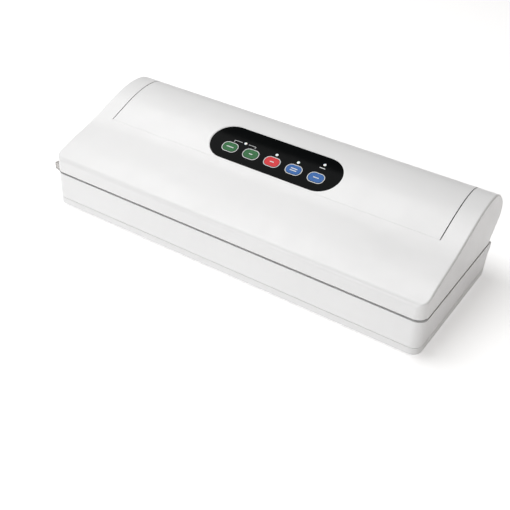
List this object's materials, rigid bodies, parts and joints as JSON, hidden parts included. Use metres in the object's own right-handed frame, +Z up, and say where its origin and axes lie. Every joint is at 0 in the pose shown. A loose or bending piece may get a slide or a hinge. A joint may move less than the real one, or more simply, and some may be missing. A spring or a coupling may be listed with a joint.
{
  "type": "vacuum sealer",
  "caption": "Countertop vacuum sealer: low base with sealing bar and vacuum chamber, rear-hinged lid with a rounded back and a black control panel with oval keys.",
  "frame": {"origin": "on the worktop, under the centre of the body", "axes": "+X to the user's right along the sealing bar, -Y the front where the bag goes in, +Z up"},
  "size_m": [0.3876, 0.1568, 0.0895],
  "materials": {
    "white_shell": "satin white",
    "white_tray": "satin white",
    "white_lid": "soft gloss white",
    "white_cover": "soft gloss white",
    "grey_deck": "matte light grey",
    "grey_liner": "matte light grey",
    "dark_rubber": "matte",
    "screw_steel": "zinc plated",
    "pin_steel": "polished",
    "gasket_foam": "foam",
    "tray_plastic": "satin",
    "heater_insulator": "matte phenolic",
    "element_strip": "nickel alloy",
    "ptfe_tape": "woven coated tape",
    "motor_can": "plated",
    "rotor_steel": "laminated",
    "pump_body": "matte",
    "crank_steel": "ground",
    "rod_plastic": "matte",
    "diaphragm_rubber": "matte",
    "pump_head_plastic": "matte",
    "hose_silicone": "translucent",
    "valve_body": "matte",
    "core_steel": "laminated",
    "coil_copper": "enamelled wire",
    "board_green": "solder mask",
    "board_parts_black": "moulded",
    "switch_body": "moulded",
    "plunger_plastic": "moulded",
    "inlet_black": "moulded",
    "inlet_brass": "bright",
    "strip_silicone": "silicone",
    "panel_black": "high gloss",
    "post_plastic": "moulded",
    "lens_clear": "clear",
    "tab_clear": "translucent",
    "key_green": "gloss",
    "key_red": "gloss",
    "key_blue": "gloss"
  },
  "bodies": {
    "base": {"base_shell": "white_shell", "base_cover": "white_tray", "base_deck": "grey_deck", "rubber_feet": "dark_rubber", "base_screws": "screw_steel", "hinge_pins": "pin_steel", "lower_gasket": "gasket_foam", "drip_tray": "tray_plastic", "heater_bar": "heater_insulator", "heating_element": "element_strip", "release_tape": "ptfe_tape", "pump_motor": "motor_can", "pump_crankcase": "pump_body", "pump_diaphragm": "diaphragm_rubber", "pump_head": "pump_head_plastic", "vacuum_hose": "hose_silicone", "vent_valve": "valve_body", "transformer_core": "core_steel", "transformer_coil": "coil_copper", "supply_board": "board_green", "supply_board_parts": "board_parts_black", "lid_switch": "switch_body", "mains_inlet": "inlet_black", "inlet_pins": "inlet_brass"},
    "lid": {"lid_frame": "white_lid", "lid_cover": "white_cover", "lid_liner": "grey_liner", "lid_screws": "screw_steel", "upper_gasket": "gasket_foam", "pressure_strip": "strip_silicone", "control_panel": "panel_black", "control_board": "board_green", "control_board_posts": "post_plastic", "tact_switches": "switch_body", "led_lenses": "lens_clear", "lift_tab": "tab_clear"},
    "pump_crank": {"pump_crank": "crank_steel", "motor_rotor": "rotor_steel"},
    "pump_rod": {"pump_rod": "rod_plastic"},
    "switch_plunger": {"switch_plunger": "plunger_plastic"},
    "key_green_left": {"key_green_left": "key_green"},
    "key_green_right": {"key_green_right": "key_green"},
    "key_red": {"key_red": "key_red"},
    "key_blue_left": {"key_blue_left": "key_blue"},
    "key_blue_right": {"key_blue_right": "key_blue"}
  },
  "joints": [
    {"name": "lid_open", "type": "hinge", "parent": "base", "child": "lid", "pos_m": [0, 0.0662, 0.0392], "axis": [-1, 0, 0], "range_deg": [0, 80]},
    {"name": "plunger_rise", "type": "slide", "parent": "base", "child": "switch_plunger", "axis": [0, 0, 1], "range_m": [0, 0.0015]},
    {"name": "crank_spin", "type": "hinge", "parent": "base", "child": "pump_crank", "pos_m": [0.1015, 0.0342, 0.027], "axis": [1, 0, 0], "continuous": true},
    {"name": "rod_swing", "type": "hinge", "parent": "pump_crank", "child": "pump_rod", "pos_m": [0.107, 0.0362, 0.027], "axis": [1, 0, 0], "continuous": true},
    {"name": "press_green_left", "type": "slide", "parent": "lid", "child": "key_green_left", "axis": [0, 0.3482, -0.9374], "range_m": [0, 0.0006], "stiffness_N_per_m": 600},
    {"name": "press_green_right", "type": "slide", "parent": "lid", "child": "key_green_right", "axis": [0, 0.3482, -0.9374], "range_m": [0, 0.0006], "stiffness_N_per_m": 600},
    {"name": "press_red", "type": "slide", "parent": "lid", "child": "key_red", "axis": [0, 0.3482, -0.9374], "range_m": [0, 0.0006], "stiffness_N_per_m": 600},
    {"name": "press_blue_left", "type": "slide", "parent": "lid", "child": "key_blue_left", "axis": [0, 0.3482, -0.9374], "range_m": [0, 0.0006], "stiffness_N_per_m": 600},
    {"name": "press_blue_right", "type": "slide", "parent": "lid", "child": "key_blue_right", "axis": [0, 0.3482, -0.9374], "range_m": [0, 0.0006], "stiffness_N_per_m": 600}
  ],
  "couplings": [
    {"joint": "rod_swing", "follows": "crank_spin", "ratio": -1},
    {"joint": "plunger_rise", "follows": "lid_open", "m_per_rad": 0.00107}
  ]
}
